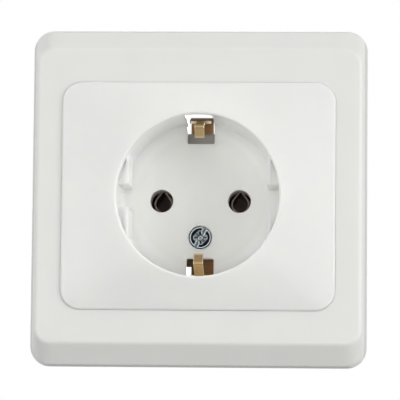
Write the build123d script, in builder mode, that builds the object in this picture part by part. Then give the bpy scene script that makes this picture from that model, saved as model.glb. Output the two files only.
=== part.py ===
from build123d import *
from math import atan2, degrees, sqrt
import os

os.makedirs("parts", exist_ok=True)

# Millimetres. The wall is the plane y = 0, the socket faces -Y, +Z is up and the recess axis is the Y axis.

# Frame around the socket
frame_width = 81.0
frame_height = 81.6
frame_corner = 4.9
frame_depth = 7.0
frame_wall = 1.8
frame_lip_depth = 1.8
frame_lip_run = 0.6
frame_side_run = 1.3
frame_slope_run = 5.4
frame_edge_round = 1.2
ledge_width = 1.6
ledge_thickness = 1.6

# Cover plate with the plug recess
plate_width = 65.6
plate_height = 54.8
plate_corner = 4.8
plate_stand = 0.6
plate_edge = 0.4
plate_gap = 0.06
plate_skirt = 1.6
rim_stand = 3.8
rim_round = 0.5
rim_blend_angle = 12.0
cover_skin = 1.8
mouth_diameter = 38.9
recess_depth = 17.5
recess_draft = 0.25
recess_wall = 1.7
floor_round = 0.6
floor_thickness = 2.6
rib_thickness = 0.8

# Guides, earth windows and holes in the recess
guide_face = 16.65
guide_thickness = 0.7
guide_gap = 5.65
guide_height = 14.6
cheek_drop = 1.2
window_width = 6.6
window_start = 14.1
window_skin = 2.0
window_corner = 0.35
window_wall = 0.7
relief_width = 10.0
pin_spacing = 19.0
pin_hole = 5.6
collar_wall = 1.2
collar_length = 5.0

# Cover screw, its washer and its press nut
screw_drop = 8.89
screw_thread = 3.0
screw_tip = 0.4
screw_head = 5.2
screw_head_height = 1.5
screw_head_edge = 0.25
screw_sink = 0.1
slot_turn = 62.0
cross_turn = 2.0
slot_width = 0.8
slot_depth = 0.6
cross_length = 2.8
cross_width = 0.7
cross_depth = 1.1
head_gap = 0.27
thread_gap = 0.1
washer_overlap = 0.6
nut_height = 2.4
nut_wall = 1.4
nut_neck_wall = 0.8

# Earth bridge with its two clips
strip = 0.8
tongue_strip = 0.5
bridge_width = 8.0
bridge_reach = 15.75
clip_width = 5.5
upper_leg_x = 0.15
lower_leg_x = 0.45
tongue_width = 2.3
tongue_x = 0.1
tongue_root_round = 0.95
leg_root = 20.78
shoulder_height = 3.7
clip_rise = 0.35
clip_fold = 16.67
fold_below_mouth = 4.05
clip_end = 14.1
end_below_mouth = 6.8
fold_round = 0.35
leg_round = 1.2
neck_wall = 1.0
neck_gap = 0.2

# Insulating base and its rear cover
base_width = 49.2
base_height = 33.8
base_corner = 6.0
base_depth = 18.2
base_front_wall = 1.7
base_edge = 0.5
base_gap = 0.3
notch_width = 9.6
notch_start = 13.6
post_x = 24.8
post_z = 8.0
post_diameter = 5.6
chamber_gap = 1.0
pocket_gap = 1.0
rear_thickness = 1.6
rear_inset = 0.4
rear_edge = 0.4
rear_screw_x = 16.0
rear_screw_rise = 7.0
rear_screw_thread = 2.5
rear_screw_length = 8.0
rear_screw_head = 4.6
rear_screw_head_height = 1.4
rear_screw_head_round = 0.6
rear_cross_length = 2.4
rear_cross_width = 0.6
rear_cross_depth = 0.9
hole_end_gap = 0.4

# Support plate and its fixings
support_gap = 3.2
support_corner = 6.0
support_thickness = 1.0
support_opening = 49.0
box_screw_spacing = 60.0
box_slot_width = 4.2
box_slot_length = 7.0
rivet_shank = 2.6
rivet_length = 6.5
rivet_head = 4.6
rivet_head_height = 0.9
rivet_gap = 0.05

# Contacts and terminals
leaf = 0.4
contact_bore = 3.7
contact_length = 9.0
contact_slot = 1.6
contact_rise = 2.9
terminal_x = 15.0
terminal_z = 7.8
terminal_pad = 8.0
terminal_screw = 3.5
terminal_tip = 0.5
terminal_head = 6.0
terminal_head_height = 2.0
terminal_head_round = 0.5
terminal_slot = 0.9
terminal_cross = 3.2
terminal_access_gap = 0.6
terminal_nut = 5.8
terminal_nut_height = 2.6
clamp_size = 7.2
clamp_thickness = 1.0
clamp_corner = 0.6
earth_terminal_z = 5.0
wire_entry = 4.2

# How far features of one moulding run into each other, and cuts run past a face
joined = 0.5
past = 1.0

# Levels along Y that follow from the sizes above
face_y = -frame_depth
plate_y = face_y - plate_stand
rim_y = face_y - rim_stand
ledge_y = face_y + frame_wall
floor_y = rim_y + recess_depth
base_y = floor_y + floor_thickness
strap_y = base_y + base_front_wall
strap_back_y = strap_y + strip
rear_y = base_y + base_depth
rear_end_y = rear_y + rear_thickness
mouth_r = mouth_diameter / 2
rim_r = mouth_r + rim_round
pot_r = mouth_r + recess_wall
pin_x = pin_spacing / 2
collar_r = pin_hole / 2 + collar_wall
collar_end_y = base_y + collar_length
contact_y = collar_end_y + base_gap
contact_end_y = contact_y + contact_length
pad_y = contact_end_y - strip
screw_seat_y = floor_y + screw_sink + screw_head_height
screw_r = screw_thread / 2
cover_nut_end_y = strap_back_y + nut_height
support_width = frame_width - 2 * (frame_wall + support_gap)
support_height = frame_height - 2 * (frame_wall + support_gap)


def level(y):
    """Sketch plane at depth y: it faces the front, with X to the right and Z up."""
    return Plane.XZ.offset(-y)


def rounded(width, height, radius):
    """Rounded rectangle of eight edges that starts at its right side."""
    across = width / 2 - radius
    up = height / 2 - radius
    with BuildSketch() as face:
        with BuildLine():
            Line((width / 2, -up), (width / 2, up))
            CenterArc((across, up), radius, 0, 90)
            Line((across, height / 2), (-across, height / 2))
            CenterArc((-across, up), radius, 90, 90)
            Line((-width / 2, up), (-width / 2, -up))
            CenterArc((-across, -up), radius, 180, 90)
            Line((-across, -height / 2), (across, -height / 2))
            CenterArc((across, -up), radius, 270, 90)
        make_face()
    return face.sketch


def inset(width, height, radius, by):
    """The same rounded rectangle with each side moved in by one distance."""
    return rounded(width - 2 * by, height - 2 * by, radius - by)


def eight_arcs(radius, diagonal):
    """Circle cut into eight arcs that answer the sides and corners of the plate."""
    turns = [diagonal, 180 - diagonal, 180 + diagonal, 360 - diagonal]
    with BuildSketch() as face:
        with BuildLine():
            for here, after in zip([turns[3] - 360] + turns[:3], turns):
                start = here + rim_blend_angle
                CenterArc((0, 0), radius, start, after - rim_blend_angle - start)
                CenterArc((0, 0), radius, after - rim_blend_angle, 2 * rim_blend_angle)
        make_face()
    return face.sketch


def tube(outer, inner):
    """Ring-shaped sketch, or a disc where the inner radius is zero."""
    with BuildSketch() as face:
        Circle(outer)
        if inner > 0:
            Circle(inner, mode=Mode.SUBTRACT)
    return face.sketch


def drive(size, width, turn):
    """Cross of two bars, for the recess in a screw head."""
    with BuildSketch() as face:
        for angle in (turn, turn + 90):
            Rectangle(size, width, rotation=angle)
    return face.sketch


# Frame: a hollow moulding with steep sides, long slopes above and below, and a ledge for the cover
opening = (plate_width + 2 * plate_gap, plate_height + 2 * plate_gap, plate_corner + plate_gap)
front_width = frame_width - 2 * frame_side_run
front_height = frame_height - 2 * frame_slope_run
lip_width = frame_width - 2 * frame_lip_run
lip_height = frame_height - 2 * frame_lip_run
with BuildPart() as frame:
    with BuildSketch(level(0)):
        add(rounded(frame_width, frame_height, frame_corner))
    with BuildSketch(level(-frame_lip_depth)):
        add(rounded(lip_width, lip_height, frame_corner - frame_lip_run / 2))
    with BuildSketch(level(face_y)):
        add(rounded(front_width, front_height, frame_corner - frame_side_run / 2))
    loft(ruled=True)
    fillet(frame.faces().sort_by(Axis.Y)[0].edges(), radius=frame_edge_round)
    with BuildSketch(level(0)):
        add(inset(frame_width, frame_height, frame_corner + frame_wall / 2, frame_wall))
    with BuildSketch(level(ledge_y)):
        add(inset(front_width, front_height, frame_corner, frame_wall))
    loft(ruled=True, mode=Mode.SUBTRACT)
    with BuildSketch(level(ledge_y + ledge_thickness)):
        add(inset(*opening, -frame_wall))
    extrude(amount=ledge_thickness + frame_wall / 2)
    with BuildSketch(level(ledge_y)):
        add(rounded(*opening))
    extrude(amount=2 * frame_wall, mode=Mode.SUBTRACT)
    with BuildSketch(level(ledge_y + ledge_thickness)):
        Rectangle(opening[0] - 2 * ledge_width, opening[1] - 2 * ledge_width)
    extrude(amount=2 * ledge_thickness, mode=Mode.SUBTRACT)
frame.part.label = "frame"
export_step(frame.part, "parts/frame.step")

# Cover: rounded plate that rises in eight lofted facets to the round mouth of the recess
plate = (plate_width, plate_height, plate_corner)
diagonal = degrees(atan2(plate_height, plate_width))
with BuildPart() as cover:
    with BuildSketch(level(ledge_y)):
        add(rounded(*plate))
    extrude(amount=ledge_y - plate_y - plate_edge)
    with BuildSketch(level(plate_y + plate_edge)):
        add(rounded(*plate))
    with BuildSketch(level(plate_y)):
        add(inset(*plate, plate_edge))
    loft(ruled=True)
    with BuildSketch(level(plate_y)):
        add(inset(*plate, plate_edge))
    with BuildSketch(level(rim_y)):
        add(eight_arcs(rim_r, diagonal))
    loft(ruled=True)
    # hollow behind the skin
    with BuildSketch(level(ledge_y)):
        add(inset(*plate, plate_skirt))
    extrude(amount=ledge_y - plate_y - cover_skin, mode=Mode.SUBTRACT)
    with BuildSketch(level(plate_y + cover_skin)):
        add(inset(*plate, plate_skirt))
    with BuildSketch(level(rim_y + cover_skin)):
        add(eight_arcs(pot_r - joined, diagonal))
    loft(ruled=True, mode=Mode.SUBTRACT)
    # stiffening ribs behind the corners
    rib_reach = sqrt(plate_width**2 + plate_height**2) / 2 - plate_corner - plate_skirt
    for turn in (diagonal, 180 - diagonal, 180 + diagonal, 360 - diagonal):
        with BuildSketch(level(ledge_y)):
            with Locations(Location((0, 0), turn)):
                with Locations(((rib_reach + pot_r - joined) / 2, 0)):
                    Rectangle(rib_reach - pot_r + joined, rib_thickness)
        extrude(amount=ledge_y - plate_y - cover_skin / 2)
    # pot around the recess
    with BuildSketch(level(base_y)):
        Circle(pot_r)
    extrude(amount=base_y - rim_y - cover_skin / 2)
    with BuildSketch(Plane.XY):
        with BuildLine():
            outside = Polyline((0, rim_y - past), (rim_r, rim_y - past), (rim_r, rim_y))
            rim = RadiusArc(outside @ 1, (mouth_r, rim_y + rim_round), rim_round)
            foot = (mouth_r - recess_draft, floor_y)
            inside = FilletPolyline(rim @ 1, foot, (0, floor_y), radius=floor_round)
            Line(inside @ 1, outside @ 0)
        make_face()
    revolve(axis=Axis.Y, mode=Mode.SUBTRACT)
    # side guides along two chords, each with a gap in the middle and a lower cheek behind it
    guide_end = sqrt((mouth_r + recess_wall / 2) ** 2 - guide_face**2)
    guide_length = guide_end - guide_gap / 2
    guide_x = guide_face + guide_thickness / 2
    guide_z = (guide_gap + guide_length) / 2
    with BuildSketch(level(floor_y)):
        with GridLocations(2 * guide_x, 2 * guide_z, 2, 2):
            Rectangle(guide_thickness, guide_length)
    extrude(amount=guide_height)
    with BuildSketch(level(floor_y)):
        Circle(mouth_r + recess_wall / 2)
        Rectangle(2 * guide_x, 2 * pot_r, mode=Mode.SUBTRACT)
        Rectangle(2 * pot_r, guide_gap, mode=Mode.SUBTRACT)
    extrude(amount=guide_height - cheek_drop)
    # collars behind the pin holes
    with BuildSketch(level(base_y)):
        with Locations((-pin_x, 0), (pin_x, 0)):
            Circle(collar_r)
    extrude(amount=-collar_length)
    with BuildSketch(level(collar_end_y)):
        with Locations((-pin_x, 0), (pin_x, 0)):
            Circle(pin_hole / 2)
    extrude(amount=collar_end_y - floor_y, mode=Mode.SUBTRACT)
    # earth windows through the floor and the wall up to the mouth, and the wall thinned outside them
    relief_z = sqrt(mouth_r**2 - (window_width / 2) ** 2) + window_wall
    for half in (-1, 1):
        with BuildSketch(level(base_y)):
            with Locations((0, half * (window_start + pot_r + past) / 2)):
                RectangleRounded(window_width, pot_r + past - window_start, window_corner)
            with Locations((0, half * (relief_z + pot_r + past) / 2)):
                Rectangle(relief_width, pot_r + past - relief_z)
        extrude(amount=base_y - rim_y - window_skin, mode=Mode.SUBTRACT)
    # seat and hole of the cover screw
    with BuildSketch(level(screw_seat_y)):
        with Locations((0, -screw_drop)):
            Circle(screw_head / 2 + head_gap)
    extrude(amount=screw_seat_y - floor_y, mode=Mode.SUBTRACT)
    with BuildSketch(level(base_y)):
        with Locations((0, -screw_drop)):
            Circle(screw_r + 2 * thread_gap)
    extrude(amount=floor_thickness, mode=Mode.SUBTRACT)
cover.part.label = "cover"
export_step(cover.part, "parts/cover.step")

# Cover screw: low round head with a slot across it and a cross recess in the middle
with BuildPart() as cover_screw:
    with BuildSketch(level(screw_seat_y)):
        with Locations((0, -screw_drop)):
            Circle(screw_head / 2)
    extrude(amount=screw_head_height)
    chamfer(cover_screw.edges().sort_by(Axis.Y)[0], length=screw_head_edge)
    with BuildSketch(level(screw_seat_y)):
        with Locations((0, -screw_drop)):
            Circle(screw_r)
    extrude(amount=screw_seat_y - cover_nut_end_y - screw_tip)
    with BuildSketch(level(screw_seat_y - screw_head_height)):
        with Locations(Location((0, -screw_drop), slot_turn)):
            Rectangle(screw_head + past, slot_width)
    extrude(amount=-slot_depth, mode=Mode.SUBTRACT)
    with BuildSketch(level(screw_seat_y - screw_head_height)):
        with Locations((0, -screw_drop)):
            add(drive(cross_length, cross_width, cross_turn))
    extrude(amount=-cross_depth, mode=Mode.SUBTRACT)
cover_screw.part.label = "cover_screw"
export_step(cover_screw.part, "parts/cover_screw.step")

# Washer that keeps the cover screw in its hole
with BuildPart() as screw_retainer:
    with BuildSketch(level(base_y)):
        with Locations((0, -screw_drop)):
            add(tube(screw_head / 2 + washer_overlap, screw_r + thread_gap))
    extrude(amount=-base_front_wall / 2)
screw_retainer.part.label = "screw_retainer"
export_step(screw_retainer.part, "parts/screw_retainer.step")

# Support plate: flat steel with a round opening, four slots for the wall box and four rivet holes
posts = [(x, z) for x in (-post_x, post_x) for z in (-post_z, post_z)]
with BuildPart() as support_plate:
    with BuildSketch(level(0)):
        add(rounded(support_width, support_height, support_corner))
        Circle(support_opening / 2, mode=Mode.SUBTRACT)
        for turn in (0, 90, 180, 270):
            with Locations(Location((0, 0), turn)):
                with Locations((box_screw_spacing / 2, 0)):
                    SlotOverall(box_slot_length, box_slot_width, mode=Mode.SUBTRACT)
        with Locations(*posts):
            Circle(rivet_shank / 2 + rivet_gap, mode=Mode.SUBTRACT)
    extrude(amount=support_thickness)
support_plate.part.label = "support_plate"
export_step(support_plate.part, "parts/support_plate.step")

# Rivets that join the support plate to the posts of the base
with BuildPart() as plate_rivets:
    with BuildSketch(level(-support_thickness)):
        with Locations(*posts):
            Circle(rivet_head / 2)
    extrude(amount=rivet_head_height)
    fillet(plate_rivets.edges().group_by(Axis.Y)[0], radius=rivet_head_height / 2)
    with BuildSketch(level(-support_thickness)):
        with Locations(*posts):
            Circle(rivet_shank / 2)
    extrude(amount=-support_thickness - rivet_length)
plate_rivets.part.label = "plate_rivets"
export_step(plate_rivets.part, "parts/plate_rivets.step")

# Earth bridge: one strip whose ends turn forward as leaning legs, narrow to a tongue and fold back as clips
shoulder_y = floor_y - shoulder_height
fold_y = rim_y + fold_below_mouth
end_y = rim_y + end_below_mouth
with BuildPart() as earth_bridge:
    with BuildSketch(level(strap_y)):
        Rectangle(bridge_width, 2 * bridge_reach)
    extrude(amount=-strip)
    for half, leg_x in ((-1, lower_leg_x), (1, upper_leg_x)):
        middle_y = strap_y + strip / 2
        strap_end = half * (bridge_reach - joined)
        root = half * leg_root
        fold = clip_rise + half * clip_fold
        end = clip_rise + half * clip_end
        lean = (root - fold) / (middle_y - fold_y)
        shoulder = fold + lean * (shoulder_y - fold_y)
        with BuildSketch(Plane.YZ.offset(leg_x)):
            with BuildLine():
                bend = (middle_y, root)
                FilletPolyline((middle_y, strap_end), bend, (shoulder_y, shoulder), radius=leg_round)
            trace(line_width=strip)
        extrude(amount=clip_width / 2, both=True)
        with BuildSketch(Plane.YZ.offset(tongue_x)):
            with BuildLine():
                inside = (shoulder_y + past, shoulder + lean * past)
                FilletPolyline(inside, (fold_y, fold), (end_y, end), radius=fold_round)
            trace(line_width=tongue_strip)
        extrude(amount=tongue_width / 2, both=True)
    # rounded corners where the tongues leave the shoulders
    near = strip / 4
    corners = earth_bridge.edges().filter_by(lambda edge: abs(edge.center().Y - shoulder_y) < near)
    corners = corners.filter_by(lambda edge: abs(abs(edge.center().X - tongue_x) - tongue_width / 2) < near)
    fillet(corners.filter_by(lambda edge: edge.length > tongue_strip / 2), radius=tongue_root_round)
    # threaded neck of the earth terminal and hole of the press nut
    with BuildSketch(level(strap_y)):
        with Locations((0, earth_terminal_z)):
            Circle(terminal_screw / 2 + neck_wall)
    extrude(amount=base_front_wall - neck_gap)
    with BuildSketch(level(strap_back_y)):
        with Locations((0, earth_terminal_z)):
            Circle(terminal_screw / 2 + rivet_gap)
        with Locations((0, -screw_drop)):
            Circle(screw_r + nut_neck_wall)
    extrude(amount=base_front_wall + strip, mode=Mode.SUBTRACT)
earth_bridge.part.label = "earth_bridge"
export_step(earth_bridge.part, "parts/earth_bridge.step")

# Press nut of the cover screw, seated in the earth bridge
with BuildPart() as cover_nut:
    with BuildSketch(level(strap_back_y)):
        with Locations((0, -screw_drop)):
            add(tube(screw_r + nut_wall, screw_r + rivet_gap))
    extrude(amount=strap_back_y - cover_nut_end_y)
    with BuildSketch(level(strap_back_y)):
        with Locations((0, -screw_drop)):
            add(tube(screw_r + nut_neck_wall - rivet_gap, screw_r + rivet_gap))
    extrude(amount=strip)
cover_nut.part.label = "cover_nut"
export_step(cover_nut.part, "parts/cover_nut.step")

# Insulating base: a block with posts to the support plate, chambers open to the rear and a middle channel
chamber_r = contact_bore / 2 + leaf + chamber_gap
well_width = terminal_x + terminal_pad / 2 + base_gap - (pin_x - leaf - base_gap)
well_x = pin_x - leaf - base_gap + well_width / 2
rear_screws = [(x, rear_screw_rise - base_height / 2) for x in (-rear_screw_x, rear_screw_x)]
with BuildPart() as base:
    with BuildSketch(level(base_y)):
        add(rounded(base_width, base_height, base_corner))
    extrude(amount=-base_depth)
    chamfer(base.faces().sort_by(Axis.Y)[0].edges(), length=base_edge)
    with BuildSketch(level(0)):
        with Locations(*posts):
            Circle(post_diameter / 2)
    extrude(amount=-base_y - base_depth / 2)
    # holes for the collars, the neck, the screw and its washer
    with BuildSketch(level(contact_y)):
        with Locations((-pin_x, 0), (pin_x, 0)):
            Circle(collar_r + base_gap)
    extrude(amount=contact_y - base_y, mode=Mode.SUBTRACT)
    with BuildSketch(level(strap_y)):
        with Locations((0, earth_terminal_z)):
            Circle(terminal_screw / 2 + neck_wall + base_gap)
        with Locations((0, -screw_drop)):
            Circle(screw_head / 2 + washer_overlap + base_gap)
    extrude(amount=base_front_wall, mode=Mode.SUBTRACT)
    # middle channel for the bridge, open to the rear, and notches above and below for its clips
    with BuildSketch(level(rear_y)):
        Rectangle(bridge_width + base_gap, base_height + 2 * past)
        for half in (-1, 1):
            with Locations((0, half * (notch_start + base_height) / 2)):
                Rectangle(notch_width, base_height - notch_start)
    extrude(amount=rear_y - strap_y, mode=Mode.SUBTRACT)
    with BuildSketch(level(strap_y)):
        with Locations((0, -(notch_start + base_height) / 2)):
            Rectangle(notch_width, base_height - notch_start)
    extrude(amount=base_front_wall, mode=Mode.SUBTRACT)
    # contact chambers, terminal wells, nut pockets and wire entries
    for side in (-1, 1):
        with BuildSketch(level(rear_y)):
            with Locations((side * pin_x, 0)):
                Circle(chamber_r)
            with Locations((side * pin_x, (terminal_z + terminal_pad / 2) / 2)):
                Rectangle(2 * (leaf + base_gap), terminal_z + terminal_pad / 2 + 2 * base_gap)
        extrude(amount=rear_y - contact_y, mode=Mode.SUBTRACT)
        with BuildSketch(level(rear_y)):
            with Locations((side * well_x, terminal_z)):
                Rectangle(well_width, terminal_pad + 2 * base_gap)
        extrude(amount=rear_y - pad_y, mode=Mode.SUBTRACT)
        with BuildSketch(level(rear_y)):
            with Locations((side * terminal_x, terminal_z)):
                Rectangle(terminal_nut + base_gap, terminal_nut + base_gap)
        extrude(amount=rear_y - pad_y + terminal_nut_height + pocket_gap, mode=Mode.SUBTRACT)
        with BuildSketch(level(rear_y)):
            with Locations((side * base_width / 2, terminal_z)):
                Rectangle(base_width - 2 * terminal_x, wire_entry)
        extrude(amount=rear_y - pad_y - strip, mode=Mode.SUBTRACT)
    # rivet and screw holes
    with BuildSketch(level(0)):
        with Locations(*posts):
            Circle(rivet_shank / 2 + rivet_gap)
    extrude(amount=-rivet_length - hole_end_gap, mode=Mode.SUBTRACT)
    with BuildSketch(level(rear_y)):
        with Locations(*rear_screws):
            Circle(rear_screw_thread / 2 + rivet_gap)
    extrude(amount=rear_screw_length + hole_end_gap, mode=Mode.SUBTRACT)
base.part.label = "base"
export_step(base.part, "parts/base.step")


def contact_section():
    """Pointed loop of two leaves around the pin, joined in a tail above and open below."""
    bore = contact_bore / 2
    with BuildSketch() as face:
        with BuildSketch():
            Circle(bore + leaf)
            with Locations((0, contact_rise + leaf / 2)):
                Rectangle(2 * leaf, leaf)
            make_hull()
        with Locations((0, (contact_rise + terminal_z + terminal_pad / 2) / 2)):
            Rectangle(2 * leaf, terminal_z + terminal_pad / 2 - contact_rise)
        with BuildSketch(mode=Mode.SUBTRACT):
            Circle(bore)
            with Locations((0, contact_rise - leaf / 4)):
                Rectangle(leaf / 2, leaf / 2)
            make_hull()
        with Locations((0, -bore - leaf)):
            Rectangle(contact_slot, 2 * bore, mode=Mode.SUBTRACT)
    return face.sketch


def make_contact(side, name):
    """Spring contact of one pin, with its terminal pad bent outward at the rear."""
    with BuildPart() as contact:
        with BuildSketch(level(contact_end_y)):
            with Locations((side * pin_x, 0)):
                add(contact_section())
        extrude(amount=contact_length)
        with BuildSketch(level(contact_end_y)):
            with Locations((side * (pin_x - leaf + terminal_x + terminal_pad / 2) / 2, terminal_z)):
                Rectangle(terminal_x + terminal_pad / 2 - pin_x + leaf, terminal_pad)
            with Locations((side * terminal_x, terminal_z)):
                Circle(terminal_screw / 2 + rivet_gap, mode=Mode.SUBTRACT)
        extrude(amount=strip)
    contact.part.label = name
    export_step(contact.part, f"parts/{name}.step")


def make_clamp(x, z, seat_y, name):
    """Square clamp plate with a hole, seated at this level."""
    with BuildPart() as clamp:
        with BuildSketch(level(seat_y)):
            with Locations((x, z)):
                Rectangle(clamp_size, clamp_size)
                Circle(terminal_screw / 2 + 2 * rivet_gap, mode=Mode.SUBTRACT)
        extrude(amount=-clamp_thickness)
        chamfer(clamp.edges().filter_by(Axis.Y), length=clamp_corner)
    clamp.part.label = name
    export_step(clamp.part, f"parts/{name}.step")


def make_terminal_screw(x, z, seat_y, length, name):
    """Round-head terminal screw that is driven from behind."""
    with BuildPart() as screw:
        with BuildSketch(level(seat_y)):
            with Locations((x, z)):
                Circle(terminal_head / 2)
        extrude(amount=-terminal_head_height)
        fillet(screw.edges().sort_by(Axis.Y)[-1], radius=terminal_head_round)
        with BuildSketch(level(seat_y)):
            with Locations((x, z)):
                Circle(terminal_screw / 2)
        extrude(amount=length)
        with BuildSketch(level(seat_y + terminal_head_height)):
            with Locations((x, z)):
                Rectangle(terminal_head + past, terminal_slot)
                add(drive(terminal_cross, terminal_slot, 0))
        extrude(amount=terminal_slot, mode=Mode.SUBTRACT)
    screw.part.label = name
    export_step(screw.part, f"parts/{name}.step")


def make_nut(x, z, name):
    """Square nut in front of the terminal pad."""
    with BuildPart() as nut:
        with BuildSketch(level(pad_y)):
            with Locations((x, z)):
                Rectangle(terminal_nut, terminal_nut)
                Circle(terminal_screw / 2 + rivet_gap, mode=Mode.SUBTRACT)
        extrude(amount=terminal_nut_height)
    nut.part.label = name
    export_step(nut.part, f"parts/{name}.step")


# Live contacts with their terminals, and the earth terminal on the bridge
for side, pole in ((-1, "line"), (1, "neutral")):
    make_contact(side, f"{pole}_contact")
    make_nut(side * terminal_x, terminal_z, f"{pole}_terminal_nut")
    make_clamp(side * terminal_x, terminal_z, contact_end_y, f"{pole}_clamp_plate")
    make_terminal_screw(
        side * terminal_x,
        terminal_z,
        contact_end_y + clamp_thickness,
        clamp_thickness + strip + terminal_nut_height + terminal_tip,
        f"{pole}_terminal_screw",
    )
make_clamp(0, earth_terminal_z, strap_back_y, "earth_clamp_plate")
make_terminal_screw(
    0,
    earth_terminal_z,
    strap_back_y + clamp_thickness,
    clamp_thickness + strip + base_front_wall - neck_gap - thread_gap,
    "earth_terminal_screw",
)

# Rear cover: insulating plate with openings over the terminal screws
with BuildPart() as rear_cover:
    with BuildSketch(level(rear_y)):
        add(inset(base_width, base_height, base_corner, rear_inset))
        for half in (-1, 1):
            with Locations((0, half * (notch_start + base_height) / 2)):
                Rectangle(notch_width, base_height - notch_start, mode=Mode.SUBTRACT)
        with Locations((-terminal_x, terminal_z), (terminal_x, terminal_z), (0, earth_terminal_z)):
            Circle(terminal_head / 2 + terminal_access_gap, mode=Mode.SUBTRACT)
        with Locations(*rear_screws):
            Circle(rear_screw_thread / 2 + thread_gap, mode=Mode.SUBTRACT)
    extrude(amount=-rear_thickness)
    rim_edges = rear_cover.faces().sort_by(Axis.Y)[-1].outer_wire().edges()
    chamfer(rim_edges, length=rear_edge)
rear_cover.part.label = "rear_cover"
export_step(rear_cover.part, "parts/rear_cover.step")

# Two small screws that hold the rear cover
with BuildPart() as rear_cover_screws:
    with BuildSketch(level(rear_end_y)):
        with Locations(*rear_screws):
            Circle(rear_screw_head / 2)
    extrude(amount=-rear_screw_head_height)
    fillet(rear_cover_screws.edges().group_by(Axis.Y)[-1], radius=rear_screw_head_round)
    with BuildSketch(level(rear_end_y)):
        with Locations(*rear_screws):
            Circle(rear_screw_thread / 2)
    extrude(amount=rear_thickness + rear_screw_length)
    with BuildSketch(level(rear_end_y + rear_screw_head_height)):
        with Locations(*rear_screws):
            add(drive(rear_cross_length, rear_cross_width, 45))
    extrude(amount=rear_cross_depth, mode=Mode.SUBTRACT)
rear_cover_screws.part.label = "rear_cover_screws"
export_step(rear_cover_screws.part, "parts/rear_cover_screws.step")
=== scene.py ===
"""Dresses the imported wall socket: finishes, the driven screw, studio light and camera."""

import logging
import math
from dataclasses import dataclass
from enum import Enum
from typing import Any, Mapping, Union

import bpy
import numpy as np
from mathutils import Matrix, Vector


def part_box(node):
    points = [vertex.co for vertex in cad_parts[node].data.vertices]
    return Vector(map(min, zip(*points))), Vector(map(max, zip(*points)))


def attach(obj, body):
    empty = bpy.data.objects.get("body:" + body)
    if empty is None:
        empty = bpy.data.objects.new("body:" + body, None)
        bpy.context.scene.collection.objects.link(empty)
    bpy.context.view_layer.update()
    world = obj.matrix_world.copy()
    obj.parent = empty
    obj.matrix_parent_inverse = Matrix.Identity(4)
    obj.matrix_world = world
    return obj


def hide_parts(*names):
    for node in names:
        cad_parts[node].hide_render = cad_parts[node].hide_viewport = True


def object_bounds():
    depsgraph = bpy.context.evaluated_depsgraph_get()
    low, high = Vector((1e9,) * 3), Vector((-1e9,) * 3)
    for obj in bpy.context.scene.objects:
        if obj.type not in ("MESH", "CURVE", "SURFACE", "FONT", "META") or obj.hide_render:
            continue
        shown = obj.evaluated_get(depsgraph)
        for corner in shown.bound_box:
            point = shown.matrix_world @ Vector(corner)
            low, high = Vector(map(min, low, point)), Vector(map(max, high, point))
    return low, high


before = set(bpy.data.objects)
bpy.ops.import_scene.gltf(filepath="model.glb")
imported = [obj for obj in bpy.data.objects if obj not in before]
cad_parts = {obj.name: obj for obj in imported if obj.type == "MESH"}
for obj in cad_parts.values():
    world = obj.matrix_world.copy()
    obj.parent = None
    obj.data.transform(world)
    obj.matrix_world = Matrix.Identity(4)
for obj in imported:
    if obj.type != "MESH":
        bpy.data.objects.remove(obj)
CAD_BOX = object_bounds()
MM = 0.001
ROOT = "root"
SHARP_ANGLE = 28.0
ROLLING = (5200.0, 260.0, 260.0)

Colour = tuple[float, float, float]
Span = tuple[float, float]
Value = Union[float, "Link"]
Axes = tuple["Link", "Link", "Link"]
log = logging.getLogger("wall_socket")


class Operation(Enum):
    """What a Math node does with its values."""

    ADD = "ADD"
    SUBTRACT = "SUBTRACT"
    MULTIPLY = "MULTIPLY"
    MAXIMUM = "MAXIMUM"
    ABSOLUTE = "ABSOLUTE"
    SQRT = "SQRT"


class Link:
    """A shader socket that takes part in Python arithmetic."""

    def __init__(self, graph: "Graph", socket: bpy.types.NodeSocket | None) -> None:
        """Keeps the graph and the output socket that this value comes from."""
        self.graph = graph
        self.socket = socket

    def math(self, operation: Operation, *values: Value) -> "Link":
        """Adds one Math node.

        Args:
            operation: what the node does.
            values: its inputs in order.

        Returns:
            The node's result.
        """
        settings = {"operation": operation.value}
        return self.graph.node("ShaderNodeMath", settings, dict(enumerate(values)))

    def __add__(self, other: Value) -> "Link":
        """This value plus the other."""
        return self.math(Operation.ADD, self, other)

    def __radd__(self, other: Value) -> "Link":
        """The other value plus this one."""
        return self.math(Operation.ADD, other, self)

    def __sub__(self, other: Value) -> "Link":
        """This value minus the other."""
        return self.math(Operation.SUBTRACT, self, other)

    def __rsub__(self, other: Value) -> "Link":
        """The other value minus this one."""
        return self.math(Operation.SUBTRACT, other, self)

    def __mul__(self, other: Value) -> "Link":
        """This value times the other."""
        return self.math(Operation.MULTIPLY, self, other)

    def __rmul__(self, other: Value) -> "Link":
        """The other value times this one."""
        return self.math(Operation.MULTIPLY, other, self)

    def larger(self, other: Value) -> "Link":
        """The larger of this value and the other."""
        return self.math(Operation.MAXIMUM, self, other)

    def size(self) -> "Link":
        """This value without its sign."""
        return self.math(Operation.ABSOLUTE, self)

    def length(self, other: "Link") -> "Link":
        """The length of this value and the other at right angles."""
        return self.math(Operation.SQRT, self * self + other * other)

    def rises(self, low: float, high: float) -> "Link":
        """Goes smoothly from 0 at the low value to 1 at the high one."""
        inputs = {"Value": self, "From Min": low, "From Max": high}
        return self.graph.node("ShaderNodeMapRange", {"interpolation_type": "SMOOTHSTEP"}, inputs)

    def falls(self, low: float, high: float) -> "Link":
        """Goes smoothly from 1 at the low value to 0 at the high one."""
        return 1.0 - self.rises(low, high)

    def thinned(self, spread: float) -> "Link":
        """Is 1 where this value is 1, and lower by the spread where it is 0."""
        return (1.0 - spread) + spread * self


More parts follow.
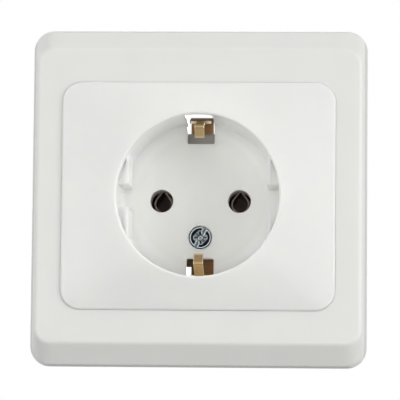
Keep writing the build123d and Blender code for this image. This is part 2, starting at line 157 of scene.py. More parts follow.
class Graph:
    """Builds one node tree."""

    def __init__(self, tree: bpy.types.NodeTree) -> None:
        """Starts from an emptied tree."""
        self.tree = tree
        tree.nodes.clear()

    def node(
        self,
        kind: str,
        settings: Mapping[str, Any] | None = None,
        inputs: Mapping[str | int, Any] | None = None,
        output: str | int = 0,
    ) -> Link:
        """Adds a node of any type.

        Args:
            kind: the node's type name.
            settings: its own settings, set first.
            inputs: values or links of its sockets, by name or number.
            output: the output socket to return.

        Returns:
            That output as a value, which is empty for a node with no outputs.
        """
        made = self.tree.nodes.new(kind)
        for key, value in (settings or {}).items():
            setattr(made, key, value)
        for key, value in (inputs or {}).items():
            if isinstance(value, Link):
                self.tree.links.new(value.socket, made.inputs[key])
            else:
                made.inputs[key].default_value = value
        return Link(self, made.outputs[output] if len(made.outputs) else None)

    def blend(self, low: Colour, high: Colour, share: Value) -> Link:
        """A colour between two, by a share from 0 to 1."""
        inputs = {"Factor": share, 6: (*low, 1.0), 7: (*high, 1.0)}
        return self.node("ShaderNodeMix", {"data_type": "RGBA"}, inputs, 2)

    def over(self, under: Link, colour: Colour, share: Value) -> Link:
        """Lays a colour over another by a share from 0 to 1."""
        inputs = {"Factor": share, 6: under, 7: (*colour, 1.0)}
        return self.node("ShaderNodeMix", {"data_type": "RGBA"}, inputs, 2)

    def place(self) -> Link:
        """The point's place on the part, in metres."""
        return self.node("ShaderNodeTexCoord", output="Object")

    def axes(self, place: Link) -> Axes:
        """The three parts of a place, in millimetres."""
        near = {"Vector": self.stretched(place, (1 / MM, 1 / MM, 1 / MM))}
        x, y, z = (self.node("ShaderNodeSeparateXYZ", None, near, axis) for axis in "XYZ")
        return x, y, z

    def noise(self, place: Link, scale: float, detail: float = 2.0) -> Link:
        """Cloudy variation around a half, with features of about one over the scale."""
        inputs = {"Vector": place, "Scale": scale, "Detail": detail}
        return self.node("ShaderNodeTexNoise", None, inputs, "Fac")

    def stretched(self, place: Link, scale: Colour) -> Link:
        """The place scaled by its own amount along each axis."""
        inputs = {"Vector": place, "Scale": scale}
        return self.node("ShaderNodeMapping", {"vector_type": "POINT"}, inputs)

    def streaks(self, place: Link) -> Link:
        """Streaks of rolled strip, narrow across the part and long in its depth and height."""
        return self.noise(self.stretched(place, ROLLING), 1.0, detail=3.0)

    def bumped(self, height: Link, depth: float, strength: float) -> Link:
        """A normal bent by a height, whose full range is that depth in metres."""
        inputs = {"Strength": strength, "Distance": depth, "Height": height}
        return self.node("ShaderNodeBump", None, inputs)

    def shown(self) -> Link:
        """Is 1 for what the eye, a reflection or a clear piece sees, and 0 for what gives light."""
        rays = ("Is Camera Ray", "Is Glossy Ray", "Is Transmission Ray")
        eye, gloss, clear = (self.node("ShaderNodeLightPath", output=name) for name in rays)
        return eye.larger(gloss).larger(clear)

    def principled(self, inputs: Mapping[str, Any]) -> None:
        """Ends a material in a Principled shader with these sockets."""
        shader = self.node("ShaderNodeBsdfPrincipled", None, inputs)
        self.node("ShaderNodeOutputMaterial", None, {"Surface": shader})


def new_material(name: str) -> tuple[bpy.types.Material, Graph]:
    """Makes a fresh material.

    Args:
        name: the material's name.

    Returns:
        The material and the graph that builds it.
    """
    material = bpy.data.materials.new(name)
    material.use_nodes = True
    return material, Graph(material.node_tree)


@dataclass(frozen=True)
class MouldedPlastic:
    """Thermoplastic from a polished mould: a little cloudiness, a fine grain, light in its skin.

    Painted shade greys the walls of the pin holes and of the chambers behind them, painted light
    keeps the walls of the recess a cleaner white, and painted shade darkens the outer rim at the
    sides and below. These zones are read from the place on the part, in millimetres, and each span
    is the stretch over which one fades in or out.
    """

    name: str
    colour: Colour
    shade: float = 0.985
    cloud_scale: float = 70.0
    cloud_span: Span = (0.3, 0.7)
    roughness: float = 0.36
    roughness_spread: float = 0.10
    grain_scale: float = 3600.0
    grain_depth: float = 4e-6
    grain_strength: float = 0.5
    specular: float = 0.4
    scatter: float = 0.0
    scatter_reach: Colour = (1.6, 1.55, 1.45)
    pin_painted_shade: Colour | None = None
    pin_x: float = 9.5
    pin_reach: Span = (3.7, 3.8)
    pin_front: Span = (6.9, 8.1)
    pin_rear: Span = (28.0, 28.1)
    wall_painted_light: Colour | None = None
    wall_front: Span = (-9.0, -8.0)
    wall_inner: Span = (15.0, 17.0)
    wall_outer: Span = (22.0, 22.5)
    rim: Colour | None = None
    rim_side: Span = (39.75, 39.9)
    rim_low: Span = (-40.45, -40.3)

    def pin_zone(self, x: Link, y: Link, z: Link) -> Link:
        """Is 1 around each pin's axis, from the recess floor to the end of the chamber."""
        radius = (x.size() - self.pin_x).length(z)
        return radius.falls(*self.pin_reach) * y.rises(*self.pin_front) * y.falls(*self.pin_rear)

    def wall_zone(self, x: Link, y: Link, z: Link) -> Link:
        """Is 1 in a ring around the recess axis, behind the mouth's rounded rim."""
        radius = x.length(z)
        ring = radius.rises(*self.wall_inner) * radius.falls(*self.wall_outer)
        return ring * y.rises(*self.wall_front)

    def rim_shade_zone(self, x: Link, y: Link, z: Link) -> Link:
        """Is 1 at the outermost left, right and lower edge."""
        return x.size().rises(*self.rim_side).larger(z.falls(*self.rim_low))

    def material(self) -> bpy.types.Material:
        """Builds the finish.

        Returns:
            The finish as a material.
        """
        material, graph = new_material(self.name)
        place = graph.place()
        cloud = graph.noise(place, self.cloud_scale)
        grain = graph.noise(place, self.grain_scale, detail=1.0)
        deep = tuple(self.shade * c for c in self.colour)
        colour = graph.blend(deep, self.colour, cloud.rises(*self.cloud_span))
        # painted shade in the pin holes and chambers, painted light on the recess walls, painted
        # shade on the outer rim
        zones = (
            (self.pin_painted_shade, self.pin_zone),
            (self.wall_painted_light, self.wall_zone),
            (self.rim, self.rim_shade_zone),
        )
        for tone, zone in zones:
            if tone:
                colour = graph.over(colour, tone, zone(*graph.axes(place)))
        graph.principled(
            {
                "Base Color": colour,
                "Roughness": self.roughness + self.roughness_spread * (grain - 0.5),
                "Specular IOR Level": self.specular,
                "Subsurface Weight": self.scatter,
                "Subsurface Radius": self.scatter_reach,
                "Subsurface Scale": MM,
                "Normal": graph.bumped(grain, self.grain_depth, self.grain_strength),
            }
        )
        return material


@dataclass(frozen=True)
class BridgeBrass:
    """Brass strip of the earth bridge, its colour painted with light and shade: strap and legs in
    painted shade, rubbed clips lit in the upper half and shaded in the lower, bright cut edges with
    a painted highlight.

    The zones are read from the place on the part, in millimetres: the strap's front and rear, the
    legs, the folded faces and slopes of the clips, their folds, and the cut edges of shoulders,
    tongues and their ends. Each span is the stretch over which a zone fades in or out, and each
    spread is how far a tone, or the roughness, changes in patches.
    """

    name: str
    brown_lit_above: Colour = (0.51, 0.295, 0.157)
    olive_shaded_below: Colour = (0.15, 0.110, 0.062)
    brown_shaded_below: Colour = (0.37, 0.190, 0.085)
    leg_shaded_above: Colour = (0.187, 0.136, 0.092)
    slope_shaded_above: Colour = (0.42, 0.31, 0.16)
    slope_lit_below: Colour = (0.95, 0.62, 0.27)
    rubbed_lit_above: Colour = (0.62, 0.47, 0.25)
    rubbed_shaded_below: Colour = (0.355, 0.258, 0.138)
    fold_painted_shade: Colour = (0.26, 0.190, 0.092)
    # bright cut metal, also a painted highlight
    cut: Colour = (0.74, 0.62, 0.43)
    sheen: Colour = (0.75, 0.66, 0.52)
    clip_rise: float = 0.35
    clip_fold: Span = (16.7, 16.95)
    clip_tip: Span = (14.2, 14.5)
    upper_half: Span = (-1.0, 1.0)
    brown_side: Span = (-2.5, 3.0)
    tongue_x: float = 0.1
    tongue_edge: Span = (0.90, 1.10)
    tongue_rear: Span = (2.2, 2.6)
    ledge_front: Span = (2.3, 2.5)
    ledge_rear: Span = (3.2, 3.4)
    ledge_inner: Span = (1.15, 1.35)
    ledge_outer: Span = (2.4, 2.6)
    ledge_top: Span = (18.84, 19.0)
    leg_front: Span = (2.6, 3.0)
    leg_rear: Span = (9.8, 10.6)
    strap_rear: Span = (11.4, 11.6)
    fold_front: Span = (-6.70, -6.15)
    worn_span: Span = (0.34, 0.66)
    stain_scale: float = 900.0
    brown_spread: float = 0.3
    olive_spread: float = 0.2
    slope_spread: float = 0.1
    rubbed_spread: float = 0.28
    sheared_share: float = 0.75
    tip_share: float = 0.6
    fold_share: float = 0.8
    browned_metal: float = 0.05
    roughness: float = 0.50
    roughness_spread: float = 0.2
    streak_depth: float = 5e-6
    streak_strength: float = 0.35

    def cut_edge_highlights(self, across: Link, y: Link, out: Link, tongue: Link) -> Link:
        """Finds the sheared edges that keep their bright metal, where a painted highlight goes too.

        Args:
            across: the distance from the tongues' middle line.
            y: the depth on the part.
            out: the distance from the height of the clips' middle.
            tongue: the zone of the two tongues.

        Returns:
            The share of bright metal: the tongues' sides and ends, and the shoulders beside them.
        """
        sheared = self.sheared_share * tongue * across.rises(*self.tongue_edge)
        tip = self.tip_share * tongue * out.falls(*self.clip_tip)
        ledge = y.rises(*self.ledge_front) * y.falls(*self.ledge_rear)
        ledge = ledge * across.rises(*self.ledge_inner) * across.falls(*self.ledge_outer)
        return sheared.larger(tip).larger(ledge * out.falls(*self.ledge_top))

    def material(self) -> bpy.types.Material:
        """Builds the finish, one tone over another from the painted shade of the strip to the
        painted highlights of the cut edges.

        Returns:
            The finish as a material.
        """
        material, graph = new_material(self.name)
        place = graph.place()
        x, y, z = graph.axes(place)
        streak = graph.streaks(place)
        stain = graph.noise(place, self.stain_scale, detail=3.0)
        wear_and_painted_light = (0.5 * streak + 0.5 * stain).rises(*self.worn_span)
        out = (z - self.clip_rise).size()
        above = z.rises(*self.upper_half)
        tongue = y.falls(*self.tongue_rear)
        back = y.rises(*self.strap_rear)
        folded = tongue * out.falls(*self.clip_fold)
        slope = tongue * out.rises(*self.clip_fold)
        leg = above * y.rises(*self.leg_front) * y.falls(*self.leg_rear)
        bend = y.falls(*self.fold_front)
        bright = self.cut_edge_highlights((x - self.tongue_x).size(), y, out, tongue)
        # the lower half starts in painted shade, darker olive towards -x and brown towards +x
        lower_shade_share = x.rises(*self.brown_side) * wear_and_painted_light.thinned(self.olive_spread)
        colour = graph.blend(self.olive_shaded_below, self.brown_shaded_below, lower_shade_share)
        rubbed = wear_and_painted_light.thinned(self.rubbed_spread)
        # painted light and shade: upper tones are lit copies and lower tones shaded copies; the
        # upper legs, upper slopes and folds take painted shade, the lower slopes painted light, the
        # cut edges a painted highlight
        for tone, share in (
            (self.brown_lit_above, above * wear_and_painted_light.thinned(self.brown_spread)),
            (self.leg_shaded_above, leg),
            (self.slope_lit_below, slope * wear_and_painted_light.thinned(self.slope_spread)),
            (self.slope_shaded_above, slope * above),
            (self.rubbed_shaded_below, folded * rubbed),
            (self.rubbed_lit_above, folded.larger(back) * above * rubbed),
            (self.fold_painted_shade, bend * above * self.fold_share),
            (self.cut, bright),
        ):
            colour = graph.over(colour, tone, share)
        metal = folded.larger(back).larger(bright)
        graph.principled(
            {
                "Base Color": colour,
                "Metallic": self.browned_metal + (1.0 - self.browned_metal) * metal,
                "Roughness": self.roughness + self.roughness_spread * (stain - 0.5),
                "Specular IOR Level": 0.0,
                "Specular Tint": (*self.sheen, 1.0),
                "Normal": graph.bumped(streak, self.streak_depth, self.streak_strength),
            }
        )
        return material


@dataclass(frozen=True)
class RolledBrass:
    """Brass strip with rolling streaks along its length and a dull, slightly browned skin."""

    name: str
    bright: Colour
    dull: Colour
    roughness: float = 0.30
    roughness_spread: float = 0.18
    metallic: float = 1.0
    stain_scale: float = 420.0
    streak_share: float = 0.45
    bright_span: Span = (0.38, 0.62)
    streak_depth: float = 6e-6
    streak_strength: float = 0.4

    def material(self) -> bpy.types.Material:
        """Builds the finish.

        Returns:
            The finish as a material.
        """
        material, graph = new_material(self.name)
        place = graph.place()
        streak = graph.streaks(place)
        stain = graph.noise(place, self.stain_scale, detail=3.0)
        mixed = self.streak_share * streak + (1.0 - self.streak_share) * stain
        graph.principled(
            {
                "Base Color": graph.blend(self.dull, self.bright, mixed.rises(*self.bright_span)),
                "Metallic": self.metallic,
                "Roughness": self.roughness + self.roughness_spread * (stain - 0.4),
                "Normal": graph.bumped(streak, self.streak_depth, self.streak_strength),
            }
        )
        return material


@dataclass(frozen=True)
class ZincPlate:
    """Bright zinc on steel: faint crystal patches and a fine grain."""

    name: str
    light: Colour
    dark: Colour
    roughness: float = 0.28
    haze_roughness: float = 0.16
    patch_roughness: float = 0.05
    patch_scale: float = 520.0
    patch_share: float = 0.35
    haze_scale: float = 160.0
    light_span: Span = (0.3, 0.7)
    grain_scale: float = 2600.0
    grain_depth: float = 4e-6
    grain_strength: float = 0.35

    def material(self) -> bpy.types.Material:
        """Builds the finish.

        Returns:
            The finish as a material.
        """
        material, graph = new_material(self.name)
        place = graph.place()
        cells = {"Vector": place, "Scale": self.patch_scale}
        patch = graph.node("ShaderNodeTexVoronoi", None, cells, "Color")
        tone = graph.node("ShaderNodeRGBToBW", None, {"Color": patch})
        haze = graph.noise(place, self.haze_scale, detail=3.0)
        grain = graph.noise(place, self.grain_scale)
        mixed = self.patch_share * tone + (1.0 - self.patch_share) * haze
        rough = self.roughness + self.haze_roughness * (haze - 0.5)
        graph.principled(
            {
                "Base Color": graph.blend(self.dark, self.light, mixed.rises(*self.light_span)),
                "Metallic": 1.0,
                "Roughness": rough + self.patch_roughness * (tone - 0.5),
                "Normal": graph.bumped(grain, self.grain_depth, self.grain_strength),
            }
        )
        return material


@dataclass(frozen=True)
class DrivenZinc:
    """Plated screw with painted reflections: black between its rim and its drive, bright at the rim
    and the drive's edges.
    """

    name: str
    bright: Colour
    black: Colour
    roughness: float = 0.34
    roughness_spread: float = 0.15
    haze_scale: float = 2400.0
    painted_reflection_share: float = 0.82
    haze_share: float = 0.36
    haze_depth: float = 4e-6
    haze_strength: float = 0.3

    def material(self) -> bpy.types.Material:
        """Builds the finish, which reads the painted reflection of each point.

        Returns:
            The finish as a material.
        """
        material, graph = new_material(self.name)
        place = graph.place()
        haze = graph.noise(place, self.haze_scale, detail=3.0)
        # painted reflection: the base colour goes from black, a painted dark reflection, to bright,
        # a painted highlight
        painted_reflection = graph.node("ShaderNodeAttribute", {"attribute_name": "painted_reflection"}, None, "Fac")
        share = painted_reflection * (self.painted_reflection_share + self.haze_share * (haze - 0.5))
        graph.principled(
            {
                "Base Color": graph.blend(self.black, self.bright, share),
                "Metallic": 1.0,
                "Roughness": self.roughness + self.roughness_spread * (haze - 0.5),
                "Normal": graph.bumped(haze, self.haze_depth, self.haze_strength),
            }
        )
        return material


WHITE_FRAME = MouldedPlastic(
    "white_frame_plastic",
    (0.840, 0.845, 0.816),
    scatter=0.25,
    # painted shade: a darker outer rim at the sides and below
    rim=(0.650, 0.654, 0.635),
)
WHITE_COVER = MouldedPlastic(
    "white_cover_plastic",
    (0.905, 0.910, 0.881),
    roughness=0.32,
    scatter=0.8,
    # painted shade in the pin bores and painted light on the recess walls
    pin_painted_shade=(0.80, 0.78, 0.75),
    wall_painted_light=(0.952, 0.955, 0.930),
)
GREY_BASE = MouldedPlastic(
    "grey_base_plastic",
    (0.490, 0.466, 0.432),
    shade=0.90,
    roughness=0.5,
    # painted shade in the pin chambers and on the rear cover behind them
    pin_painted_shade=(0.185, 0.125, 0.108),
)
NYLON = MouldedPlastic("natural_nylon", (0.62, 0.60, 0.54), shade=0.94, roughness=0.45)
BRIDGE_BRASS = BridgeBrass("bridge_brass")
NUT_BRASS = RolledBrass("nut_brass", (0.56, 0.41, 0.21), (0.36, 0.24, 0.11))
# brass darkened as painted shade of the deep pin holes; the terminal nuts take it too
SHADED_CONTACT_BRASS = RolledBrass(
    "contact_brass_painted_shade",
    (0.215, 0.175, 0.130),
    (0.120, 0.085, 0.068),
    roughness=0.42,
    metallic=0.45,
)
ZINC = ZincPlate("zinc_plate", (0.62, 0.64, 0.65), (0.50, 0.52, 0.535))
SCREW_ZINC = DrivenZinc("driven_zinc", (0.51, 0.578, 0.60), (0.003, 0.004, 0.005))


def dress(material: bpy.types.Material, *nodes: str) -> None:
    """Gives one finish to CAD nodes.

    Args:
        material: the finish.
        nodes: names of the nodes that take it.
    """
    for node in nodes:
        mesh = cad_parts[node].data
        mesh.materials.clear()
        mesh.materials.append(material)
        log.info("%s is dressed in %s", node, material.name)


def closed_surface(
    name: str, points: np.ndarray, attributes: Mapping[str, np.ndarray]
) -> bpy.types.Object:
    """Makes a closed mesh from a grid that wraps round and ends in a pole at both ends.

    Row i and column j hold the point at step i along the profile and turn j about the axis. Every
    row is joined to the next by quads, and the first and last rows are fanned to one point each.

    Args:
        name: the object's name.
        points: rows by turns by 3, in metres.
        attributes: point values by name, rows by turns.

    Returns:
        The object, linked to the scene.
    """
    rows, turns, _ = points.shape
    index = np.arange(rows * turns).reshape(rows, turns)
    after = np.roll(index, -1, axis=1)
    quads = np.stack([index[:-1], index[1:], after[1:], after[:-1]], axis=-1).reshape(-1, 4)
    poles = np.array([points[0].mean(axis=0), points[-1].mean(axis=0)])
    first, last = rows * turns, rows * turns + 1
    start = np.stack([index[0], after[0], np.full(turns, first)], axis=-1)
    end = np.stack([after[-1], index[-1], np.full(turns, last)], axis=-1)
    mesh = bpy.data.meshes.new(name)
    mesh.from_pydata(
        np.concatenate([points.reshape(-1, 3), poles]).tolist(),
        [],
        start.tolist() + quads.tolist() + end.tolist(),
    )
    for key, value in attributes.items():
        ends = [value[0].mean(), value[-1].mean()]
        data = np.concatenate([value.ravel(), ends]).astype(np.float32)
        mesh.attributes.new(key, "FLOAT", "POINT").data.foreach_set("value", data)
    mesh.shade_smooth()
    mesh.set_sharp_from_angle(angle=math.radians(SHARP_ANGLE))
    mesh.update()
    made = bpy.data.objects.new(name, mesh)
    bpy.context.scene.collection.objects.link(made)
    return made


def past(value: np.ndarray, limit: float, soft: float) -> np.ndarray:
    """Goes in a straight line from 0 to 1 as the value passes the limit.

    Args:
        value: the values to test.
        limit: where the line is at a half.
        soft: how wide the line is.

    Returns:
        The share at each value.
    """
    return np.clip((value - limit) / soft + 0.5, 0.0, 1.0)


def turned(x: np.ndarray, z: np.ndarray, degrees: float) -> tuple[np.ndarray, np.ndarray]:
    """Measures places from a line through the axis, by the usual rotation.

    Args:
        x: places across the head.
        z: places up the head.
        degrees: the line's angle.

    Returns:
        The place along the line, and the distance from it without a sign.
    """
    angle = math.radians(degrees)
    along = x * math.cos(angle) + z * math.sin(angle)
    return along, np.abs(z * math.cos(angle) - x * math.sin(angle))


@dataclass(frozen=True)
class DrivePaintedReflection:
    """Painted reflections on a screw's head, from 0 where it is painted black to 1 where it is
    painted bright.

    Shares go by the zone's name, and radii, widths and limits are in metres.
    """

    soft: float = 0.07 * MM
    dish: float = 0.17
    dish_radius: float = 1.50 * MM
    dish_edge: float = 0.4
    dish_edge_half: float = 0.06 * MM
    rim: float = 0.85
    rim_start: float = 2.36 * MM
    slot_start: float = 0.8 * MM
    slot_floor: float = 0.11
    slot_inside: float = 0.13 * MM
    slot_outside: float = 0.12 * MM
    cross_floor: float = 0.06
    cross_edge: float = 0.7
    cross_inside: float = 0.15 * MM
    cross_outside: float = 0.1 * MM
    cap_half: float = 0.12 * MM
    hub: float = 0.10
    hub_radius: float = 0.75 * MM
    punch: float = 0.20
    punch_radius: float = 0.28 * MM
    ring: float = 0.66
    ring_inner: float = 0.32 * MM
    ring_outer: float = 0.64 * MM
    side: float = 0.25

    def upto(self, value: np.ndarray, high: float) -> np.ndarray:
        """Is 1 up to the limit and 0 beyond it, with a soft step between."""
        return past(-value, -high, self.soft)

    def band(self, value: np.ndarray, low: float, high: float) -> np.ndarray:
        """Is 1 between the two limits and 0 outside them, with soft steps."""
        return past(value, low, self.soft) * self.upto(value, high)


@dataclass
class DrivenScrew:
    """Machine screw with a slot, a cross recess with witness lines and a rolled thread.

    The surface is a function of a step along the profile and a turn about the axis: head face,
    rounded edge, side and underside, then the thread and the tip. The head looks to the front,
    along -Y. Lengths are in metres.
    """

    name: str
    centre: tuple[float, float]
    top: float
    head_radius: float
    head_height: float
    length: float
    thread_radius: float
    slot_turn: float
    cross_turn: float
    wear_and_painted_light: DrivePaintedReflection = DrivePaintedReflection()
    pitch: float = 0.5 * MM
    thread_depth: float = 0.22 * MM
    edge: float = 0.12 * MM
    slot_width: float = 0.9 * MM
    slot_depth: float = 0.35 * MM
    cross_length: float = 3.2 * MM
    cross_width: float = 0.75 * MM
    cross_depth: float = 0.7 * MM
    cone_start: float = 1.25
    cone_least: float = 0.25
    line_share: float = 1.15
    line_width: float = 0.12 * MM
    line_depth: float = 0.15 * MM
    bevel: float = 0.10 * MM
    pole_radius: float = 0.02 * MM
    tip_span: Span = (0.9, 0.05)
    turns: int = 300
    face_rows: int = 90
    edge_rows: int = 6
    side_rows: int = 14
    under_rows: int = 4
    pitch_rows: int = 8
    tip_rows: int = 6

    def sunk(self, x: np.ndarray, z: np.ndarray) -> np.ndarray:
        """Depth of the drive below the flat of the head.

        The slot and each bar of the cross are as deep as a smooth step across their edges, a bar
        is deepest at the axis, and two shallow lines cross between the bars. The deepest counts.

        Args:
            x: places across the head.
            z: places up the head.

        Returns:
            The depth at each place.
        """

        def bar(turn: float, length: float, width: float, depth: np.ndarray | float) -> np.ndarray:
            """Depth of one groove through the axis, at its turn and with its sizes."""
            along, across = turned(x, z, turn)
            inside = np.minimum(width / 2 - across, length / 2 - np.abs(along))
            step = past(inside, 0.0, self.bevel)
            return depth * step * step * (3 - 2 * step)

        reach = np.hypot(x, z) / (self.cross_length / 2)
        cone = self.cross_depth * np.clip(self.cone_start - reach, self.cone_least, 1.0)
        line = self.line_share * self.cross_length
        parts = [bar(self.slot_turn, 4 * self.head_radius, self.slot_width, self.slot_depth)]
        for turn in (0, 90):
            bar_turn, line_turn = self.cross_turn + turn, self.cross_turn + turn + 45
            parts.append(bar(bar_turn, self.cross_length, self.cross_width, cone))
            parts.append(bar(line_turn, line, self.line_width, self.line_depth))
        return np.maximum.reduce(parts)

    def painted_reflection(self, x: np.ndarray, z: np.ndarray) -> np.ndarray:
        """Painted reflection on the head, from 0 where it is painted black to 1 where it is painted
        bright.

        By radius there is a punched ring at the middle painted bright, a dull dish, a band painted
        black as a dark reflection and a rim painted bright as a highlight. The two edges of the
        slot and the outlines of the cross take painted highlights, with a dull floor between them.

        Args:
            x: places across the head.
            z: places up the head.

        Returns:
            The wear at each place.
        """
        w = self.wear_and_painted_light
        radius = np.hypot(x, z)
        share = w.dish * w.upto(radius, w.dish_radius) + w.rim * past(radius, w.rim_start, w.soft)
        dish_edge = (w.dish_radius - w.dish_edge_half, w.dish_radius + w.dish_edge_half)
        share = np.maximum(share, w.dish_edge * w.band(radius, *dish_edge))
        along, across = turned(x, z, self.slot_turn)
        outer = past(np.abs(along), w.slot_start, w.soft)
        inner_edge = self.slot_width / 2 - w.slot_inside
        outer_edge = self.slot_width / 2 + w.slot_outside
        share = np.where(outer * w.upto(across, outer_edge) > 0.5, w.slot_floor, share)
        share = np.maximum(share, outer * w.band(across, inner_edge, outer_edge))
        end, half = self.cross_length / 2, self.cross_width / 2
        for turn in (0, 90, 180, 270):
            along, across = turned(x, z, self.cross_turn + turn)
            wing = w.band(along, w.hub_radius, end + w.cross_outside)
            edge = w.band(across, half - w.cross_inside, half + w.cross_outside)
            cap = w.band(along, end - w.cap_half, end + w.cap_half) * w.upto(across, half)
            floor = wing * w.upto(across, half - w.cross_inside)
            share = np.where(floor > 0.5, w.cross_floor, share)
            share = np.maximum(share, w.cross_edge * np.maximum(wing * edge, cap))
        share = np.where(radius < w.hub_radius, w.hub, share)
        share = np.where(radius < w.punch_radius, w.punch, share)
        return np.maximum(share, w.ring * w.band(radius, w.ring_inner, w.ring_outer))

    def build(self) -> bpy.types.Object:
        """Works out the surface and makes its mesh.

        Returns:
            The screw, which rides on the part.
        """
        turn = np.linspace(0, 2 * np.pi, self.turns, endpoint=False)
        face = np.linspace(self.pole_radius, self.head_radius - self.edge, self.face_rows)
        rim = np.linspace(0, 1, self.edge_rows)[1:]
        side = np.linspace(self.edge, self.head_height, self.side_rows)[1:]
        under = np.linspace(self.head_radius, self.thread_radius, self.under_rows)[1:]
        shank_end = self.length - self.thread_radius / 2
        shank = np.arange(self.head_height, shank_end, self.pitch / self.pitch_rows)[1:]
        tip = np.linspace(*self.tip_span, self.tip_rows)
        radius = np.concatenate(
            [
                face,
                self.head_radius - self.edge + self.edge * np.sin(rim * np.pi / 2),
                np.full(side.shape, self.head_radius),
                under,
                np.full(shank.shape, self.thread_radius),
                tip * self.thread_radius,
            ]
        )
        depth = np.concatenate(
            [
                np.zeros(face.shape),
                self.edge * (1 - np.cos(rim * np.pi / 2)),
                side,
                np.full(under.shape, self.head_height),
                shank,
                self.length - tip * self.thread_radius / 2,
            ]
        )
        row = np.arange(radius.size)[:, None]
        head_rows = face.size + rim.size + side.size
        thread_start = head_rows + under.size
        on_thread = (row >= thread_start) & (row < thread_start + shank.size)
        rho = np.repeat(radius[:, None], self.turns, axis=1)
        deep = np.repeat(depth[:, None], self.turns, axis=1)
        # a thread's groove is a triangle wave of the height along the axis less the turn
        wave = np.abs(2 * np.mod(deep / self.pitch - turn / (2 * np.pi), 1.0) - 1)
        rho = rho - np.where(on_thread, self.thread_depth * wave, 0.0)
        x, z = rho * np.cos(turn), rho * np.sin(turn)
        deep = np.where(row < head_rows, np.maximum(deep, self.sunk(x, z)), deep)
        # painted reflections on the head's face, and one even share on the rest
        wear_and_painted_light = np.where(row < face.size, self.painted_reflection(x, z), self.wear_and_painted_light.side)
        places = [self.centre[0] + x, self.top + deep, self.centre[1] + z]
        made = closed_surface(self.name, np.stack(places, axis=-1), {"painted_reflection": wear_and_painted_light})
        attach(made, ROOT)
        log.info("%s has %d faces", self.name, len(made.data.polygons))
        return made


@dataclass
class FrontMouldings:
    """The frame and the cover plate, the two white mouldings of the front."""

    frame_finish: MouldedPlastic = WHITE_FRAME
    cover_finish: MouldedPlastic = WHITE_COVER

    def dress(self) -> None:
        """Gives each moulding its own white."""
        dress(self.frame_finish.material(), "frame")
        dress(self.cover_finish.material(), "cover")


@dataclass
class ContactBase:
    """The insulating base with its rear cover, and the strips and terminals that it holds."""

    body_finish: MouldedPlastic = GREY_BASE
    washer_finish: MouldedPlastic = NYLON
    bridge_finish: BridgeBrass = BRIDGE_BRASS
    nut_finish: RolledBrass = NUT_BRASS
    contact_finish: RolledBrass = SHADED_CONTACT_BRASS
    plate_finish: ZincPlate = ZINC

    def dress(self) -> None:
        """Gives plastic, brass and zinc to the pieces of the base."""
        dress(self.body_finish.material(), "base", "rear_cover")
        dress(self.washer_finish.material(), "screw_retainer")
        dress(self.bridge_finish.material(), "earth_bridge")
        dress(self.nut_finish.material(), "cover_nut")
        dress(
            self.contact_finish.material(),
            "line_contact",
            "neutral_contact",
            "line_terminal_nut",
            "neutral_terminal_nut",
        )
        dress(
            self.plate_finish.material(),
            "support_plate",
            "plate_rivets",
            "line_clamp_plate",
            "neutral_clamp_plate",
            "earth_clamp_plate",
            "line_terminal_screw",
            "neutral_terminal_screw",
            "earth_terminal_screw",
            "rear_cover_screws",
        )


@dataclass
class CoverScrew:
    """The screw in the recess floor, made from the box of its CAD node."""

    node: str = "cover_screw"
    head_height: float = 1.5 * MM
    thread_radius: float = 1.5 * MM
    slot_turn: float = 62.0
    cross_turn: float = 2.0
    finish: DrivenZinc = SCREW_ZINC

    def build(self) -> None:
        """Builds the screw in place of its node and dresses it."""
        low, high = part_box(self.node)
        screw = DrivenScrew(
            name="cover_screw_driven",
            centre=((low.x + high.x) / 2, (low.z + high.z) / 2),
            top=low.y,
            head_radius=(high.x - low.x) / 2,
            head_height=self.head_height,
            length=high.y - low.y,
            thread_radius=self.thread_radius,
            slot_turn=self.slot_turn,
            cross_turn=self.cross_turn,
        ).build()
        screw.data.materials.append(self.finish.material())
        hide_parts(self.node)


@dataclass(frozen=True)
class Softbox:
    """A round soft lamp that looks at the socket, placed by its angles to the right and above."""

    name: str
    right: float
    rise: float
    power: float
    size: float = 0.9
    distance: float = 1.5
    spread: float = 180.0

    def build(self) -> None:
        """Hangs the lamp and turns it to the socket."""
        data = bpy.data.lights.new(self.name, "AREA")
        data.shape = "DISK"
        data.size = self.size
        data.energy = self.power
        data.spread = math.radians(self.spread)
        made = bpy.data.objects.new(self.name, data)
        right, rise = math.radians(self.right), math.radians(self.rise)
        level = Vector((math.sin(right), -math.cos(right), 0.0))
        toward = math.cos(rise) * level + Vector((0.0, 0.0, math.sin(rise)))
        made.location = toward * self.distance
        made.rotation_mode = "QUATERNION"
        made.rotation_quaternion = (-toward).to_track_quat("-Z", "Y")
        made.visible_camera = False
        bpy.context.scene.collection.objects.link(made)
        log.info("%s gives %.1f W", self.name, self.power)


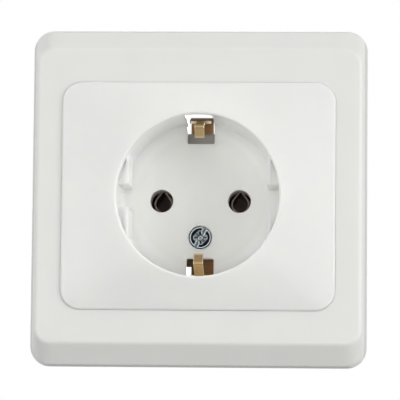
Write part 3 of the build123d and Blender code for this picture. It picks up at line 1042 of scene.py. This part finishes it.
@dataclass
class Studio:
    """Camera, soft light, white surround and pale floor."""

    distance: float = 0.650
    camera_right: float = 2.522
    camera_rise: float = -5.491
    yaw: float = -2.521
    pitch: float = 5.462
    roll: float = 0.537
    focal_pixels: float = 2688.5
    image_pixels: float = 400.0
    sensor: float = 36.0
    clip_span: Span = (0.01, 50.0)
    lamps: tuple[Softbox, ...] = (
        Softbox("front_softbox", 0.0, 0.0, 4.1),
        Softbox("left_softbox", -40.0, 0.0, 5.7),
        Softbox("far_left_softbox", -80.0, 28.0, 7.5),
        Softbox("right_softbox", 60.0, 0.0, 10.6),
        Softbox("high_right_softbox", 40.0, 28.0, 2.9),
        Softbox("far_right_softbox", 80.0, 28.0, 4.4),
        Softbox("top_softbox", 0.0, 85.0, 3.7),
        Softbox("rear_softbox", 180.0, 8.0, 1.1, size=0.5, spread=50.0),
    )
    floor_below: float = 0.88
    floor_size: float = 8.0
    floor_pale: float = 0.8
    paper_dark: Colour = (0.80, 0.80, 0.80)
    paper_light: Colour = (0.83, 0.83, 0.83)
    paper_roughness: float = 0.9
    paper_specular: float = 0.1
    fibre_scale: float = 40.0

    def camera(self) -> None:
        """Sets the camera from its place around the recess axis and its yaw, pitch and roll."""
        angles = (self.camera_right, self.camera_rise, self.yaw, self.pitch, self.roll)
        right, rise, yaw, pitch, roll = (math.radians(angle) for angle in angles)
        across, above = math.sin(right), math.sin(rise)
        place = self.distance * Vector((across, -math.cos(right) * math.cos(rise), above))
        flat = math.cos(pitch)
        ahead = Vector((math.sin(yaw) * flat, math.cos(yaw) * flat, math.sin(pitch)))
        level = Vector((math.cos(yaw), -math.sin(yaw), 0.0))
        up = level.cross(ahead)
        x_axis = math.cos(roll) * level + math.sin(roll) * up
        y_axis = math.cos(roll) * up - math.sin(roll) * level
        turn = Matrix((x_axis, y_axis, -ahead)).transposed()
        data = bpy.data.cameras.new("camera")
        data.sensor_width = self.sensor
        data.lens = self.focal_pixels / self.image_pixels * self.sensor
        data.clip_start, data.clip_end = self.clip_span
        made = bpy.data.objects.new("camera", data)
        made.matrix_world = Matrix.Translation(place) @ turn.to_4x4()
        bpy.context.scene.collection.objects.link(made)
        bpy.context.scene.camera = made

    def surround(self) -> None:
        """Makes a world that is white to the eye and in reflections, and gives no light."""
        world = bpy.data.worlds.new("surround")
        world.use_nodes = True
        bpy.context.scene.world = world
        graph = Graph(world.node_tree)
        inputs = {"Color": (1, 1, 1, 1), "Strength": graph.shown()}
        white = graph.node("ShaderNodeBackground", None, inputs)
        graph.node("ShaderNodeOutputWorld", None, {"Surface": white})

    def floor_paper(self) -> bpy.types.Material:
        """Builds paper that is pale to the eye and in reflections, and still takes a shadow.

        Returns:
            The floor's material.
        """
        material, graph = new_material("floor_paper")
        fibre = graph.noise(graph.place(), self.fibre_scale, detail=3.0)
        tone = graph.blend(self.paper_dark, self.paper_light, fibre)
        inputs = {
            "Base Color": tone,
            "Roughness": self.paper_roughness,
            "Specular IOR Level": self.paper_specular,
        }
        paper = graph.node("ShaderNodeBsdfPrincipled", None, inputs)
        pale = graph.node("ShaderNodeEmission", None, {"Color": tone})
        layers = {0: self.floor_pale * graph.shown(), 1: paper, 2: pale}
        mixed = graph.node("ShaderNodeMixShader", None, layers)
        graph.node("ShaderNodeOutputMaterial", None, {"Surface": mixed})
        return material

    def floor(self) -> None:
        """Lays a square floor below the camera's view."""
        half = self.floor_size / 2
        level = CAD_BOX[0].z - self.floor_below
        mesh = bpy.data.meshes.new("floor")
        around = ((-half, -half), (half, -half), (half, half), (-half, half))
        mesh.from_pydata([(x, y, level) for x, y in around], [], [(0, 1, 2, 3)])
        mesh.materials.append(self.floor_paper())
        made = bpy.data.objects.new("floor", mesh)
        bpy.context.scene.collection.objects.link(made)

    def build(self) -> None:
        """Sets up the whole studio."""
        bpy.context.scene.view_settings.view_transform = "Standard"
        self.camera()
        self.surround()
        for lamp in self.lamps:
            lamp.build()
        self.floor()
        log.info("studio is set")


def main() -> None:
    """Dresses the front and the base, builds the screw and sets the studio."""
    logging.basicConfig(level=logging.INFO, format="%(name)s: %(message)s")
    FrontMouldings().dress()
    ContactBase().dress()
    CoverScrew().build()
    Studio().build()


if __name__ == "__main__":
    main()
